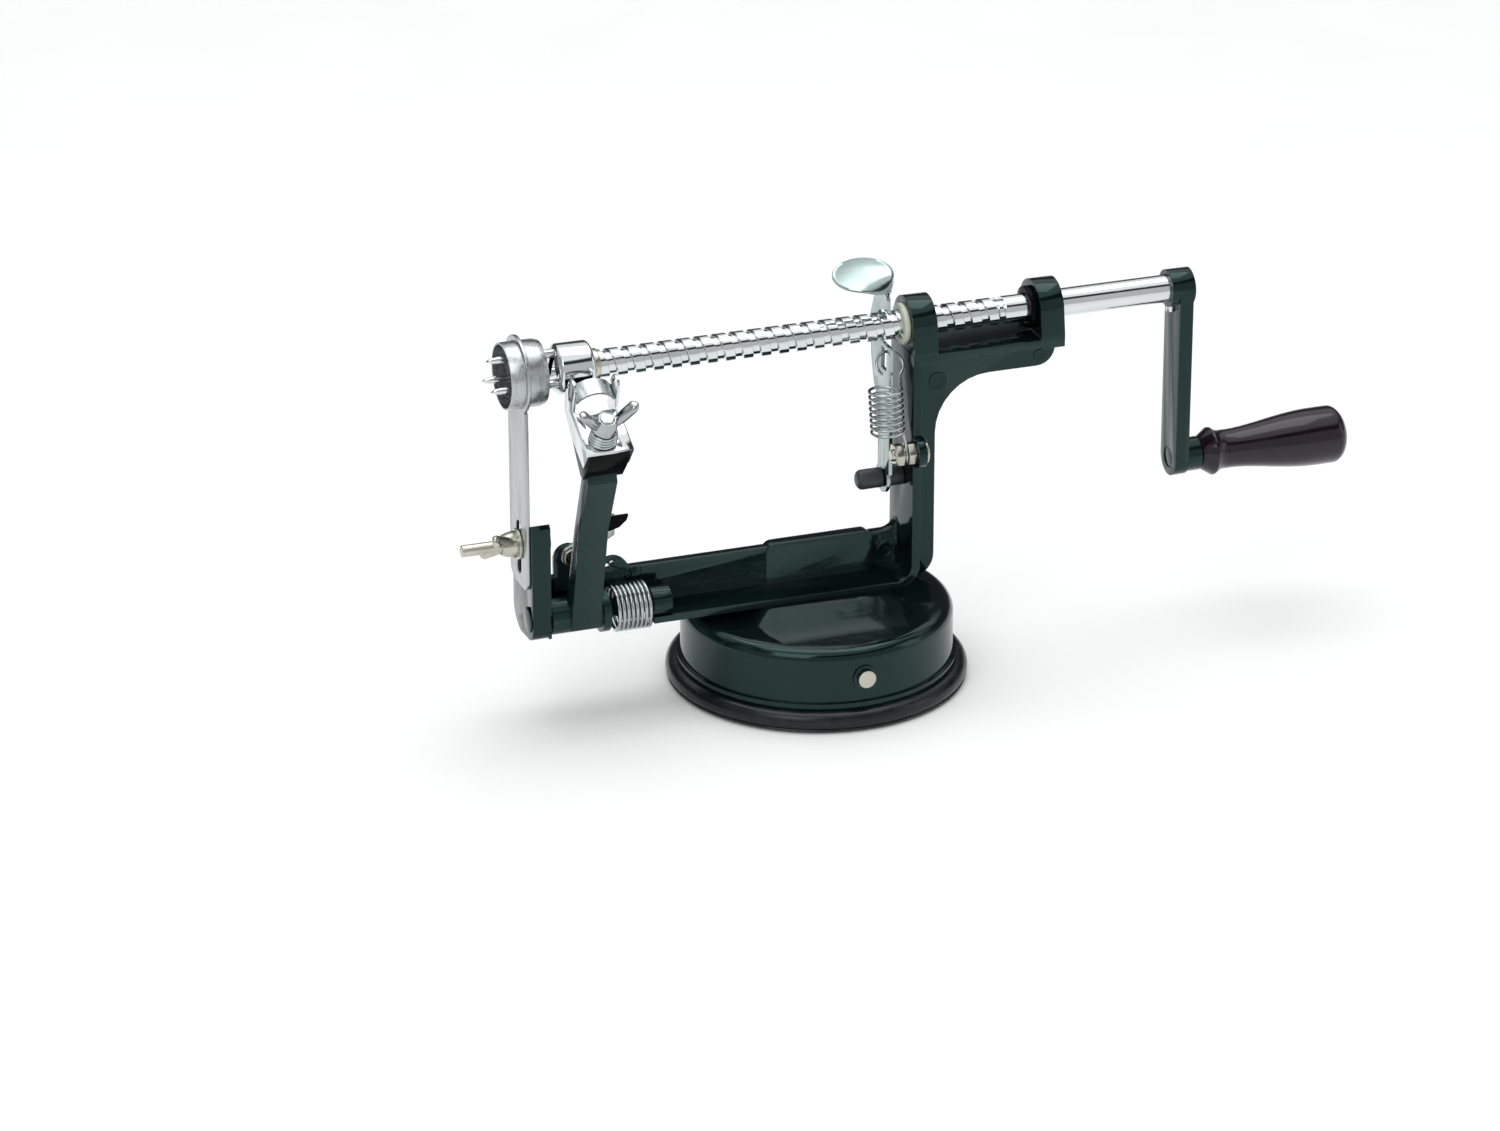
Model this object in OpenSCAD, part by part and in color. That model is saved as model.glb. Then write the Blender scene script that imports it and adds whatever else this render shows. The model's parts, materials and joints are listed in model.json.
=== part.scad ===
// Apple peeler, corer and slicer on a suction foot.
// +X runs along the feed screw towards the crank, +Y to the back, +Z up.
// The origin is the middle of the foot ring, on the table.

/* [Foot] */
// Radius of the base cover's wall
cover_r = 45.8; // [45:0.1:46.4]
// Height of the cover's flat top above the table
cover_top = 27.5; // [26.5:0.1:28]
// Outer radius of the rubber foot ring
foot_r = 50.8; // [50:0.1:52]
// Height of the crosswise cam pin
cam_z = 17.5; // [17:0.1:18]
// Lift of the suction stud as the lever is locked
cam_lift = 2.6; // [2.2:0.1:2.8]

/* [Frame] */
// Width of the casting's flanges, front to back
frame_w = 21; // [20:0.5:22]
// Height of the casting's seat on the cover
seat_z = 31; // [30.8:0.1:31.4]
// Left face of the column
column_x = 30; // [29.5:0.1:30.5]
// Left face of the corer post
post_x = -103; // [-104:0.5:-102]
// Top of the corer post
post_top = 71.5; // [70:0.5:73]

/* [Feed screw] */
// Height of the screw's axis
shaft_z = 121.5; // [121:0.1:122]
// Diameter of the screw and of its plain end
shaft_d = 9.5; // [9.4:0.02:9.6]
// Travel of the screw in one turn
thread_lead = 6.2; // [6:0.1:6.4]
// Depth of the thread's groove
thread_depth = 0.95; // [0.8:0.05:1]
// Circle that the fork's prongs stand on
prong_circle_r = 5.8; // [5.6:0.1:6]

/* [Crank] */
// Distance from the screw's axis to the handle's axis
crank_throw = 61.5; // [58:0.5:64]
// Length of the handle
handle_len = 54.5; // [52:0.5:56]

/* [Peeler] */
// Pivot of the peeler arm, behind (+) or before (-) the screw
pivot_y = -5.5; // [-5.8:0.1:-5.2]
// Height of the peeler arm's pivot
pivot_z = 36.7; // [36.5:0.1:37]
// Upward tilt of the blade holder
head_tilt = 28.5; // [27:0.5:30]

/* [Corer] */
// Height of the corer's bolt
corer_bolt_z = 62; // [61:0.5:63]
// Inner radius of the coring ring
ring_in_r = 10.5; // [10.2:0.1:11]

/* [Release lever] */
// Left face of the release lever's plate
lever_x = 22.9; // [22.8:0.1:23.2]
// Height of the release lever's pivot
lever_z = 67.5; // [66:0.5:68]

/* [Hidden] */
$fn = 64;
eps = 0.01;
run = 0.05;                         // radial running clearance

// foot
cover_t = 1.3;
cover_foot_z = 7;
cam_r = 3;
head_y = -48.2;
back_y = 48.6;

// frame
half_w = frame_w / 2;
flange_t = 2.2;
plate_t = 2.9;
web_y = 3.2;
web_t = 3.6;
beam_top = 46.2;
post_t = 6.4;
post_fall = 9.2;                    // drop of the post's top from front to back
shelf_top = 113.3;
shelf_t = 2.6;
collar_r = 9.4;
front_collar = [column_x + 0.2, column_x + 8.7];
rear_collar = [75.4, 83.8];
bracket_x = 43.2;
bracket_low = 98.5;
bracket_end = 86;
bush_r = 6.5;
lug = [-61, -54.5];

// feed screw
shaft_r = shaft_d / 2;
core_r = shaft_r - thread_depth;
thread_x = [-76.6, 62.8];
plain_x = [65, 131.5];
neck_x = -79.2;
hub_x = [-91.5, -79.2];
land_deg = 205;                     // share of a turn that the crest takes
slices_per_turn = 10;

// crank
crank_x = [127.2, 132];
hub_c = [124.6, 132.8];
handle_x = 137.8;
set_screw_x = 126.4;
set_screw_r = 1.6;
handle_z = shaft_z - crank_throw;

// peeler
head_x = -84.7;                     // middle of the blade holder
head_w = 15.6;
head_y0 = -38.3;                    // front edge of the holder's base
head_z0 = 106.5;
barrel_r = 6;
arm_x = [-90.3, -80.3];
stud = [-1.3, 5.5];                 // blade stud on the holder: across, and up the slope
stud_r = 2.5;
slide = 1.6;                        // the holder's travel to either side of the stud

// corer
strap_t = 1.2;
strap_w = 18;
strap_x = post_x - strap_t - run;

// latch behind the peeler arm
latch_rivet_x = -86.6;
latch_rivet_z = 55;

// release lever
lever_t = 1.2;
anchor_y = -11.5;
anchor_z = 79.8;
anchor_ear_r = 5.3;
nut_t = 3;
nut_x = [22.6, column_x - nut_t];   // outer and inner nut, with the spring's hook between

function arc(c, r, a0, a1, n = 8) =
    [for (i = [0:n]) let (a = a0 + (a1 - a0) * i / n) [c[0] + r * cos(a), c[1] + r * sin(a)]];

// ---------- general shapes ----------

// Bar or disc along X from x0 to x1
module xrod(x0, x1, r, y = 0, z = 0) {
    translate([x0, y, z]) rotate([0, 90, 0]) cylinder(h = x1 - x0, r = r);
}

module yrod(y0, y1, r, x = 0, z = 0) {
    translate([x, y0, z]) rotate([-90, 0, 0]) cylinder(h = y1 - y0, r = r);
}

// Plate whose outline is drawn in X and Z, from y0 to y1
module xz_plate(y0, y1) {
    translate([0, y1, 0]) rotate([90, 0, 0]) linear_extrude(height = y1 - y0) children();
}

// Plate whose outline is drawn in Y and Z, from x0 to x1
module yz_plate(x0, x1) {
    translate([x0, 0, 0]) rotate([90, 0, 90]) linear_extrude(height = x1 - x0) children();
}

module hexagon(af) {
    circle(d = af / cos(30), $fn = 6);
}

// Round wire swept through a list of points
module wire(pts, r, sides = 8) {
    n = len(pts);
    function dir(i) = let (v = pts[min(i + 1, n - 1)] - pts[max(i - 1, 0)]) v / norm(v);
    function side_of(t) = let (s = cross(t, abs(t[2]) < 0.8 ? [0, 0, 1] : [1, 0, 0])) s / norm(s);
    // carry the side direction along the wire so that the rings don't twist
    sides_of = [for (i = 0, s = side_of(dir(0)); i < n;
                     i = i + 1, s = i < n ? let (t = dir(i), q = s - t * (s * t)) q / norm(q) : s) s];
    rings = [for (i = [0:n - 1]) let (t = dir(i), s = sides_of[i], u = cross(t, s))
        for (k = [0:sides - 1]) pts[i] + r * (cos(360 * k / sides) * s + sin(360 * k / sides) * u)];
    walls = [for (i = [0:n - 2]) for (k = [0:sides - 1]) let (m = (k + 1) % sides)
        each [[i * sides + k, (i + 1) * sides + k, (i + 1) * sides + m],
              [i * sides + k, (i + 1) * sides + m, i * sides + m]]];
    near = [for (k = [0:sides - 1]) k];
    far = [for (k = [sides - 1:-1:0]) (n - 1) * sides + k];
    polyhedron(points = rings, faces = concat(walls, [near, far]), convexity = 6);
}

// Wing nut along +Z, seated at z = 0
module wing_nut(bore_r, hub_r, span) {
    wing_w = span / 2 - hub_r * 0.6;
    difference() {
        union() {
            cylinder(h = 5.2, r1 = hub_r, r2 = hub_r * 0.78);
            for (s = [-1, 1]) scale_wing(s, hub_r, wing_w);
        }
        translate([0, 0, -1]) cylinder(h = 8, r = bore_r);
    }
}

// One wing: a flat tongue that leans outward, with a round end
module scale_wing(s, hub_r, wing_w) {
    mirror([s < 0 ? 1 : 0, 0, 0])
        translate([0, 1.1, 0]) rotate([90, 0, 0]) linear_extrude(height = 2.2) difference() {
            union() {
                polygon([[hub_r * 0.5, 0.5], [hub_r * 0.95, 0.5], [hub_r * 0.6 + wing_w - 0.3, 7],
                         [hub_r * 0.6 + wing_w - 5, 10.6], [hub_r * 0.5, 5.2]]);
                translate([hub_r * 0.6 + wing_w - 2.7, 9.2]) circle(r = 3);
            }
            translate([-1, -4]) square([hub_r * 0.5 + 1, 20]);
        }
}

// ---------- foot ----------

module base_cover() {
    top_r = 4.2;
    color([0.02, 0.03, 0.03]) difference() {
        union() {
            rotate_extrude() difference() {
                union() {
                    translate([0, cover_foot_z]) square([cover_r, cover_top - cover_foot_z - top_r]);
                    translate([0, cover_foot_z]) square([cover_r - top_r, cover_top - cover_foot_z]);
                    translate([cover_r - top_r, cover_top - top_r]) circle(r = top_r);
                    translate([0, cover_foot_z]) square([cover_r + 1.4, 2.2]);
                }
                translate([-1, cover_foot_z - 1])
                    square([cover_r - cover_t + 1, cover_top - cover_t - cover_foot_z + 1 - 3]);
                translate([-1, cover_foot_z - 1])
                    square([cover_r - cover_t - 3 + 1, cover_top - cover_t - cover_foot_z + 1]);
            }
            base_pad();
            // sleeves that carry the cam pin
            yrod(-cover_r - 0.9, -cover_r + 4, 4.3, 0, cam_z);
            yrod(cover_r - 4, cover_r + 0.9, 4.3, 0, cam_z);
        }
        yrod(-60, 60, cam_r + run, 0, cam_z);
        for (x = [-15, 15]) translate([x, web_y + web_t, 20]) cylinder(h = 20, r = 2.2);
        for (x = [-15, 15]) translate([x, web_y + web_t, 20]) cylinder(h = 26.4 - 20, r = 4.4);
    }
}

// Raised seat under the casting, with sloped flanks
module base_pad() {
    corner = 7;
    hull() {
        for (x = [-20.5, 19.5], y = [-13.8, 13.8])
            translate([x, y, cover_top - 0.3]) cylinder(h = 0.2, r = corner, $fn = 32);
        for (x = [-17, 16], y = [-9.8, 9.8])
            translate([x, y, seat_z - 0.2]) cylinder(h = 0.2, r = corner - 1.4, $fn = 32);
    }
}

module foot_ring() {
    color([0.06, 0.08, 0.07]) rotate_extrude() {
        difference() {
            union() {
                translate([foot_r - 3.5, 3.5]) circle(r = 3.5);
                translate([foot_r - 7.5, 0]) square([4, cover_foot_z]);
            }
            translate([0, -5]) square([60, 5]);
        }
    }
}

module suction_diaphragm() {
    color([0.08, 0.09, 0.08]) rotate_extrude()
        polygon([[0, 2.6], [10, 2.6], [foot_r - 10, 0], [foot_r - 7.6, 0], [foot_r - 7.6, 2.2],
                 [foot_r - 12, 2.2], [10, 4.6], [0, 4.6]]);
}

module suction_stud() {
    slot_w = 2 * (cam_r + cam_lift) + 1.2;
    slot_h = 2 * (cam_r + 1.4);
    slot_z = cam_z + cam_lift - 0.7;
    color([0.7, 0.7, 0.68]) {
        difference() {
            union() {
                translate([0, 0, 4.6]) cylinder(h = 1.8, r = 9);
                translate([-slot_w / 2 - 2, -3, 4.7])
                    cube([slot_w + 4, 6, slot_z + slot_h / 2 + 1.3 - 4.7]);
            }
            translate([-slot_w / 2, -5, slot_z - slot_h / 2]) cube([slot_w, 10, slot_h]);
        }
    }
}

// Crank pin across the foot: its middle stands off its axis and lifts the stud
module cam_pin() {
    color([0.75, 0.74, 0.7]) {
        difference() {
            yrod(head_y, back_y + 0.2, cam_r, 0, cam_z);
            yrod(-5, 5, cam_r + 1, 0, cam_z);
        }
        yrod(-7, 7, cam_r - 0.6, 0, cam_z + cam_lift - 0.6);
        for (y = [-7, 5]) hull() {
            yrod(y, y + 2, cam_r, 0, cam_z);
            yrod(y, y + 2, cam_r - 0.6, 0, cam_z + cam_lift - 0.6);
        }
    }
}

// The lever lies behind the cover and leans down a little towards its free end
module at_lever() {
    translate([0, 0, cam_z]) rotate([0, 9, 0]) children();
}

module lever_blank() {
    circle(r = 5.6);
    translate([0, -4]) square([30, 8]);
    translate([30, 0]) circle(r = 4);
}

module suction_lever() {
    color([0.05, 0.06, 0.06]) at_lever() xz_plate(back_y - 1.3, back_y + 1.2) difference() {
        lever_blank();
        circle(r = cam_r);
    }
}

module suction_lever_grip() {
    color([0.06, 0.06, 0.06]) at_lever() difference() {
        hull() for (x = [22, 35]) yrod(back_y - 2.2, back_y + 2.1, 4.8, x, 0);
        xz_plate(back_y - 1.3, back_y + 1.2) lever_blank();
    }
}

// ---------- frame ----------

// Flange ribbon: under the beam, round the corner and up the column
module ribbon_outline() {
    r_in = 5;
    r_out = 7;
    polygon(concat(
        [[post_x + post_t - 1, seat_z]],
        arc([column_x + plate_t - r_out, seat_z + r_out], r_out, -90, 0),
        [[column_x + plate_t, shelf_top], [column_x, shelf_top]],
        arc([column_x - r_in, seat_z + flange_t + r_in], r_in, 0, -90),
        [[post_x + post_t - 1, seat_z + flange_t]]));
}

// Upright web behind the beam, the column and the bracket
module web_outline() {
    fillet = 19;
    corner = 8;
    heel = 6.5;
    inner = 5;
    foot = cover_top;
    polygon(concat(
        [[post_x + post_t - 1, seat_z + eps], [column_x - 9, seat_z + eps], [column_x - 5, foot]],
        arc([bracket_x - corner, foot + corner], corner, -90, 0),
        arc([bracket_x + fillet, bracket_low - fillet], fillet, 180, 90),
        arc([bracket_end - heel, bracket_low + heel], heel, -90, 0),
        [[bracket_end, 107.5], [rear_collar[1], shelf_top], [column_x, shelf_top]],
        arc([column_x - inner, beam_top + inner], inner, 0, -90),
        [[post_x + post_t - 1, beam_top]]));
}

// Corer post in Y and Z: its top falls to the back, its foot is rounded round the peeler's pivot
module post_outline() {
    back_top = post_top - post_fall;
    polygon(concat(
        [[-half_w, post_top - 1.2], [-half_w, pivot_z - 2]],
        arc([-half_w + 5, pivot_z - 2], 5, 180, 262),
        arc([half_w - 9, pivot_z + 1.5], 9, -80, 0),
        [[half_w, back_top - 1.2], [half_w - 1.2, back_top + 0.5], [-half_w + 1.2, post_top]]));
}

// Collar round the screw: its flanks widen downwards until they meet the shelf's edges
module collar(span) {
    xrod(span[0], span[1], collar_r, 0, shaft_z);
    yz_plate(span[0], span[1])
        polygon([[-collar_r, shaft_z], [-half_w, shelf_top + 1.5], [-half_w, shelf_top - 3.3],
                 [half_w, shelf_top - 3.3], [half_w, shelf_top + 1.5], [collar_r, shaft_z]]);
}

// Panel that stands a little proud of the beam's web on both sides
module panel_outline() {
    span = [-17, 21];
    corner = 3;
    top = beam_top + 1;
    polygon(concat([[span[0], seat_z + 1], [span[1], seat_z + 1]],
                   arc([span[1] - corner, top - corner], corner, 0, 90),
                   arc([span[0] + corner, top - corner], corner, 90, 180)));
}

module frame_casting() {
    color([0.03, 0.04, 0.04]) difference() {
        union() {
            xz_plate(-half_w, half_w) ribbon_outline();
            xz_plate(web_y, web_y + web_t) web_outline();
            yz_plate(post_x, post_x + post_t) post_outline();
            collar(front_collar);
            collar(rear_collar);
            // shelf between the collars
            translate([column_x + 1, -half_w, shelf_top - shelf_t])
                cube([rear_collar[1] - column_x - 1, frame_w, shelf_t]);
            xz_plate(web_y - 0.6, web_y + web_t + 0.6) panel_outline();
            // lug for the far end of the peeler's pivot pin
            xrod(lug[0], lug[1], 5.2, pivot_y, pivot_z);
            translate([lug[0], pivot_y, seat_z + 1]) cube([lug[1] - lug[0], web_y - pivot_y + 1, 8.6]);
            // ear for the spring's anchor bolt, on the column's front edge
            xrod(column_x, column_x + plate_t, anchor_ear_r, anchor_y, anchor_z);
            // screw bosses behind the web
            for (x = [-15, 15]) translate([x, web_y + web_t, seat_z]) cylinder(h = 12, r = 3.8);
        }
        // recess behind the blade arm's barrel and spring
        translate([post_x + post_t, web_y - 1, seat_z + flange_t]) cube([35.5, 1.4, 30]);
        translate([post_x + post_t, -half_w - 1, seat_z - 1]) cube([20, half_w + 1 + web_y, 12]);
        xrod(-77, lug[0], 9.2, pivot_y, pivot_z);
        // bores
        xrod(front_collar[0] - 5, front_collar[1] + 1, bush_r, 0, shaft_z);
        xrod(rear_collar[0] - 1, rear_collar[1] + 1, bush_r, 0, shaft_z);
        xrod(post_x - 1, post_x + post_t + 1, 3, pivot_y, pivot_z);
        xrod(lug[0] - 1, lug[1] + 1, 3, pivot_y, pivot_z);
        xrod(post_x - 1, post_x + post_t + 1, 2.1, 0, corer_bolt_z);
        xrod(column_x - 1, column_x + plate_t + 1, 2, anchor_y, anchor_z);
        xrod(column_x - 1, column_x + plate_t + 1, 2.5, 0, lever_z);
        for (x = [-15, 15]) translate([x, web_y + web_t, seat_z - 1]) cylinder(h = 10, r = 2);
    }
}

module base_screws() {
    color([0.7, 0.7, 0.68]) for (x = [-15, 15]) translate([x, web_y + web_t, 0]) {
        difference() {
            translate([0, 0, 23.8]) cylinder(h = 2.6, r = 3.8);
            translate([-0.5, -5, 23]) cube([1, 10, 1.6]);
        }
        translate([0, 0, 26]) cylinder(h = 12.5, r = 2);
    }
}

module front_bush() {
    color([0.86, 0.83, 0.72]) difference() {
        union() {
            xrod(front_collar[0], front_collar[1], bush_r, 0, shaft_z);
            xrod(front_collar[0] - 1.6, front_collar[0], bush_r + 0.4, 0, shaft_z);
        }
        xrod(20, 50, shaft_r + run, 0, shaft_z);
    }
}

module rear_bush() {
    color([0.12, 0.13, 0.13]) difference() {
        union() {
            xrod(rear_collar[0], rear_collar[1], bush_r, 0, shaft_z);
            xrod(rear_collar[0] - 2.2, rear_collar[0], bush_r + 0.6, 0, shaft_z);
        }
        xrod(60, 100, shaft_r + run, 0, shaft_z);
    }
}

// ---------- drive ----------

// Section of the one-start thread: crest over land_deg, groove over the rest
function thread_section() = concat(arc([0, 0], shaft_r, 0, land_deg, 10),
                                   arc([0, 0], core_r, land_deg + 4, 356, 7));

// Turn of the section that puts the groove behind the screw at the lever's tooth
thread_phase = 90 - (land_deg + 360) / 2
    - 360 * (lever_x + lever_t / 2 - thread_x[0]) / thread_lead;

module drive_shaft() {
    length = thread_x[1] - thread_x[0];
    turns = length / thread_lead;
    color([0.85, 0.86, 0.88]) {
        translate([thread_x[0], 0, shaft_z]) rotate([0, 90, 0]) rotate([0, 0, thread_phase])
            linear_extrude(height = length, twist = -360 * turns, slices = round(turns * slices_per_turn),
                           convexity = 10, $fn = 18)
                polygon(thread_section());
        xrod(hub_x[0] + 3, thread_x[0] + eps, core_r - 0.1, 0, shaft_z);
        xrod(thread_x[1] - eps, plain_x[0] + eps, core_r - 0.1, 0, shaft_z);
        xrod(plain_x[0], plain_x[1], shaft_r, 0, shaft_z);
    }
}

module fork_washer() {
    color([0.8, 0.8, 0.8]) difference() {
        xrod(hub_x[1] + 0.15, thread_x[0] - 0.15, 5.3, 0, shaft_z);
        xrod(-90, -70, core_r - 0.1 + run, 0, shaft_z);
    }
}

module fork_hub() {
    color([0.85, 0.86, 0.88]) difference() {
        translate([0, 0, shaft_z]) rotate([0, 90, 0]) rotate_extrude()
            polygon(concat([[0, hub_x[0]], [7.4, hub_x[0]], [8.5, hub_x[0] + 1.1]],
                           arc([6.9, hub_x[1] - 1.6], 1.6, 0, 90), [[0, hub_x[1]]]));
        xrod(hub_x[0] + 3, hub_x[1] + 1, core_r - 0.1, 0, shaft_z);
        for (a = [90, 210, 330])
            translate([0, 0, shaft_z]) rotate([a, 0, 0]) xrod(hub_x[0] - 1, hub_x[0] + 9, 1.5, prong_circle_r, 0);
    }
}

module fork_prongs() {
    reach = 23;
    color([0.8, 0.81, 0.82]) for (a = [90, 210, 330])
        translate([0, 0, shaft_z]) rotate([a, 0, 0]) translate([hub_x[0] + 9, prong_circle_r, 0])
            rotate([0, -90, 0]) rotate_extrude()
                polygon([[0, 0], [1.5, 0], [1.5, 9 + reach - 7], [0.9, 9 + reach - 1.6], [0, 9 + reach]]);
}

module crank_arm() {
    half = 6.4;
    color([0.03, 0.05, 0.05]) difference() {
        union() {
            xrod(hub_c[0], hub_c[1], half, 0, shaft_z);
            translate([crank_x[0], -half, handle_z]) cube([crank_x[1] - crank_x[0], 2 * half, crank_throw]);
            xrod(crank_x[0], crank_x[1], half, 0, handle_z);
            xrod(crank_x[0], handle_x - 0.3, 5.8, 0, handle_z);
        }
        xrod(hub_c[0] - 1, plain_x[1], shaft_r, 0, shaft_z);
        xrod(120, 140, 2.5, 0, handle_z);
        translate([set_screw_x, 0, shaft_z - 8.4]) cylinder(h = 8.4, r = set_screw_r);
        xrod(crank_x[0] - 1, crank_x[0] + 1.2, 3.6, 0, handle_z);
    }
}

module crank_set_screw() {
    length = 8.2 - shaft_r;
    color([0.8, 0.8, 0.8]) translate([set_screw_x, 0, shaft_z - 8.2]) difference() {
        cylinder(h = length, r = set_screw_r);
        translate([0, 0, -0.1]) linear_extrude(height = 1.3) hexagon(1.5);
    }
}

module handle_axle() {
    color([0.7, 0.7, 0.7]) {
        xrod(crank_x[0] + 0.6, 174, 2.5, 0, handle_z);
        xrod(crank_x[0] + 0.2, crank_x[0] + 1.2, 3.6, 0, handle_z);
        xrod(174 - eps, 176.5, 3.4, 0, handle_z);
    }
}

// Radius of the turned handle behind its rim, t from 0 to 1
function handle_r(t) = 6.6 + 3.3 * pow(sin(90 * min(1, max(0, (t - 0.2) / 0.6))), 1.7)
    + 0.7 * pow(max(0, 1 - t / 0.24), 2);

module handle() {
    n = 26;
    first = 4;
    end = 0.9;
    color([0.13, 0.04, 0.06]) difference() {
        translate([handle_x, 0, handle_z]) rotate([0, 90, 0]) rotate_extrude()
            polygon(concat([[0, 0], [5, 0], [8.15, 4.3], [8.15, 5.1], [7.4, 6.1]],
                [for (i = [first:n]) let (t = i / n * end) [handle_r(t), t * handle_len]],
                [for (a = [9:9:81]) [handle_r(end) * cos(a), handle_len * (end + 0.1 * sin(a))]],
                [[0, handle_len]]));
        xrod(130, 174, 2.5 + run, 0, handle_z);
        xrod(173.6, 177, 3.5, 0, handle_z);
    }
}

// ---------- corer ----------

module corer_bolt() {
    color([0.72, 0.7, 0.62]) {
        xrod(-124, post_x + post_t + eps, 2, 0, corer_bolt_z);
        xrod(post_x + post_t, post_x + post_t + 2.4, 4, 0, corer_bolt_z);
    }
}

module corer_washer() {
    color([0.75, 0.74, 0.7]) difference() {
        xrod(strap_x - 1 - run, strap_x - run, 5.2, 0, corer_bolt_z);
        xrod(strap_x - 2, strap_x + 1, 2.15, 0, corer_bolt_z);
    }
}

module corer_wing_nut() {
    color([0.7, 0.69, 0.62]) translate([strap_x - 1 - 2 * run, 0, corer_bolt_z]) rotate([0, -90, 0])
        rotate([0, 0, 125]) wing_nut(2 + run, 4.4, 23);
}

// Slotted strap that carries the coring ring; its front edge is ground to slice the apple
module slicing_strap() {
    low = 47.6;
    slot_w = 4.6;
    edge_z = [77, shaft_z - ring_in_r - 3];
    color([0.75, 0.77, 0.77]) difference() {
        yz_plate(strap_x, strap_x + strap_t) strap_outline(low, slot_w);
        translate([strap_x, -strap_w / 2, edge_z[0]]) rotate([0, 0, 18])
            translate([-4, -6, 0]) cube([4, 12, edge_z[1] - edge_z[0]]);
    }
}

module strap_outline(low, slot_w) {
    difference() {
        union() {
            translate([-strap_w / 2, low + 7]) square([strap_w, shaft_z - ring_in_r - low - 7]);
            translate([0, low + 9]) intersection() {
                circle(r = 10.8);
                translate([-strap_w / 2, -9]) square([strap_w, 9]);
            }
            translate([0, shaft_z]) circle(r = ring_in_r + 2.6);
        }
        translate([0, shaft_z]) circle(r = ring_in_r + 0.6);
        translate([-slot_w / 2, corer_bolt_z - 8]) square([slot_w, 14]);
        translate([0, corer_bolt_z - 8]) circle(d = slot_w);
        translate([0, corer_bolt_z + 6]) circle(d = slot_w);
    }
}

module coring_ring() {
    color([0.8, 0.82, 0.83]) difference() {
        translate([0, 0, shaft_z]) rotate([0, 90, 0]) rotate_extrude()
            polygon([[ring_in_r, post_x - 6], [ring_in_r + 0.6, post_x - 6], [ring_in_r + 0.6, post_x + 5],
                     [ring_in_r, post_x + 7]]);
    }
}

// ---------- peeler ----------

module peeler_pivot_pin() {
    color([0.03, 0.04, 0.04]) {
        xrod(post_x, lug[1] + 0.6, 3, pivot_y, pivot_z);
        xrod(post_x - 0.6, post_x, 4.3, pivot_y, pivot_z);
    }
}

// Side view of the arm: a bar that leans forward, more so above its bend
module arm_outline() {
    polygon([[-11.6, pivot_z - 3.6], [-12.9, pivot_z], [-21, 71.5], [-31.2, 92.8], [-30.2, 95.6],
             [-26.2, 97.6], [-25.4, 95.4], [-15.7, 70.4], [-6.5, pivot_z + 3]]);
}

module peeler_arm() {
    barrel = [post_x + post_t + 0.3, -76.4];
    color([0.04, 0.06, 0.06]) difference() {
        union() {
            yz_plate(arm_x[0], arm_x[1]) arm_outline();
            xrod(barrel[0], barrel[1], barrel_r, pivot_y, pivot_z);
            xrod(barrel[1] - 2.6, barrel[1], 7.4, pivot_y, pivot_z);
        }
        xrod(-100, -70, 3 + run, pivot_y, pivot_z);
    }
}

// Torsion spring round the pivot pin, pressing the arm towards the apple
module peeler_spring() {
    r = 7.6;
    wire_r = 0.65;
    coils = 8;
    x0 = -75.2;
    pitch = 1.57;
    steps = 16;
    color([0.78, 0.8, 0.8]) wire([for (i = [0:coils * steps])
        [x0 + 0.7 + pitch * i / steps, pivot_y + r * cos(360 * i / steps), pivot_z + r * sin(360 * i / steps)]],
        wire_r, 6);
}

// Places its children on the blade holder: X across, Y up the slope, Z out of it
module at_head() {
    translate([head_x, head_y0, head_z0]) rotate([head_tilt, 0, 0]) children();
}

module blade_block() {
    half = head_w / 2 - 1.05;
    color([0.02, 0.03, 0.03]) difference() {
        at_head() difference() {
            yz_plate(-half, half) polygon([[0, -1.05], [17.5, -1.05], [18.5, -3], [17, -11], [4.6, -15.8],
                                           [2.2, -15], [0.4, -8]]);
            translate([stud[0], stud[1], -20]) cylinder(h = 30, r = stud_r);
        }
        yz_plate(arm_x[0], arm_x[1]) arm_outline();
    }
}

module blade_bracket() {
    half = head_w / 2;
    slot_r = stud_r + 0.1;
    color([0.85, 0.85, 0.84]) at_head() difference() {
        union() {
            translate([-half, 0, -1]) cube([head_w, 17.5, 1]);
            for (x = [-half, half - 1]) yz_plate(x, x + 1)
                polygon(concat([[0, 0], [1.5, -8.4], [15, -8.6], [24.6, -5.4], [26.4, 0]],
                               arc([22.6, 6.4], 3.2, 20, 160, 6), [[18.2, 0]]));
        }
        translate([stud[0] - slot_r, stud[1] - slide, -3]) cube([2 * slot_r, 2 * slide, 6]);
        for (c = [-slide, slide]) translate([stud[0], stud[1] + c, -3]) cylinder(h = 6, r = slot_r);
    }
}

// Arched blade between the bracket's arms, sharp along its upper edge
module peeling_blade() {
    r = 7.6;
    rise = 4.4;
    half = head_w / 2 - 1;
    color([0.88, 0.89, 0.9]) at_head() intersection() {
        translate([0, 19.2, rise + 2.6 - r]) rotate([-90, 0, 0]) difference() {
            cylinder(h = 6.4, r = r);
            translate([0, 0, -1]) cylinder(h = 9, r = r - 0.8);
            translate([0, 0, 4.4]) cylinder(h = 3, r1 = r - 0.8, r2 = r + 0.1);
        }
        translate([-half, 15, 2.6]) cube([2 * half, 15, 10]);
    }
}

module blade_stud() {
    color([0.8, 0.8, 0.8]) difference() {
        at_head() translate([stud[0], stud[1], -11]) cylinder(h = 22, r = stud_r);
        yz_plate(arm_x[0], arm_x[1]) arm_outline();
    }
}

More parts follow.
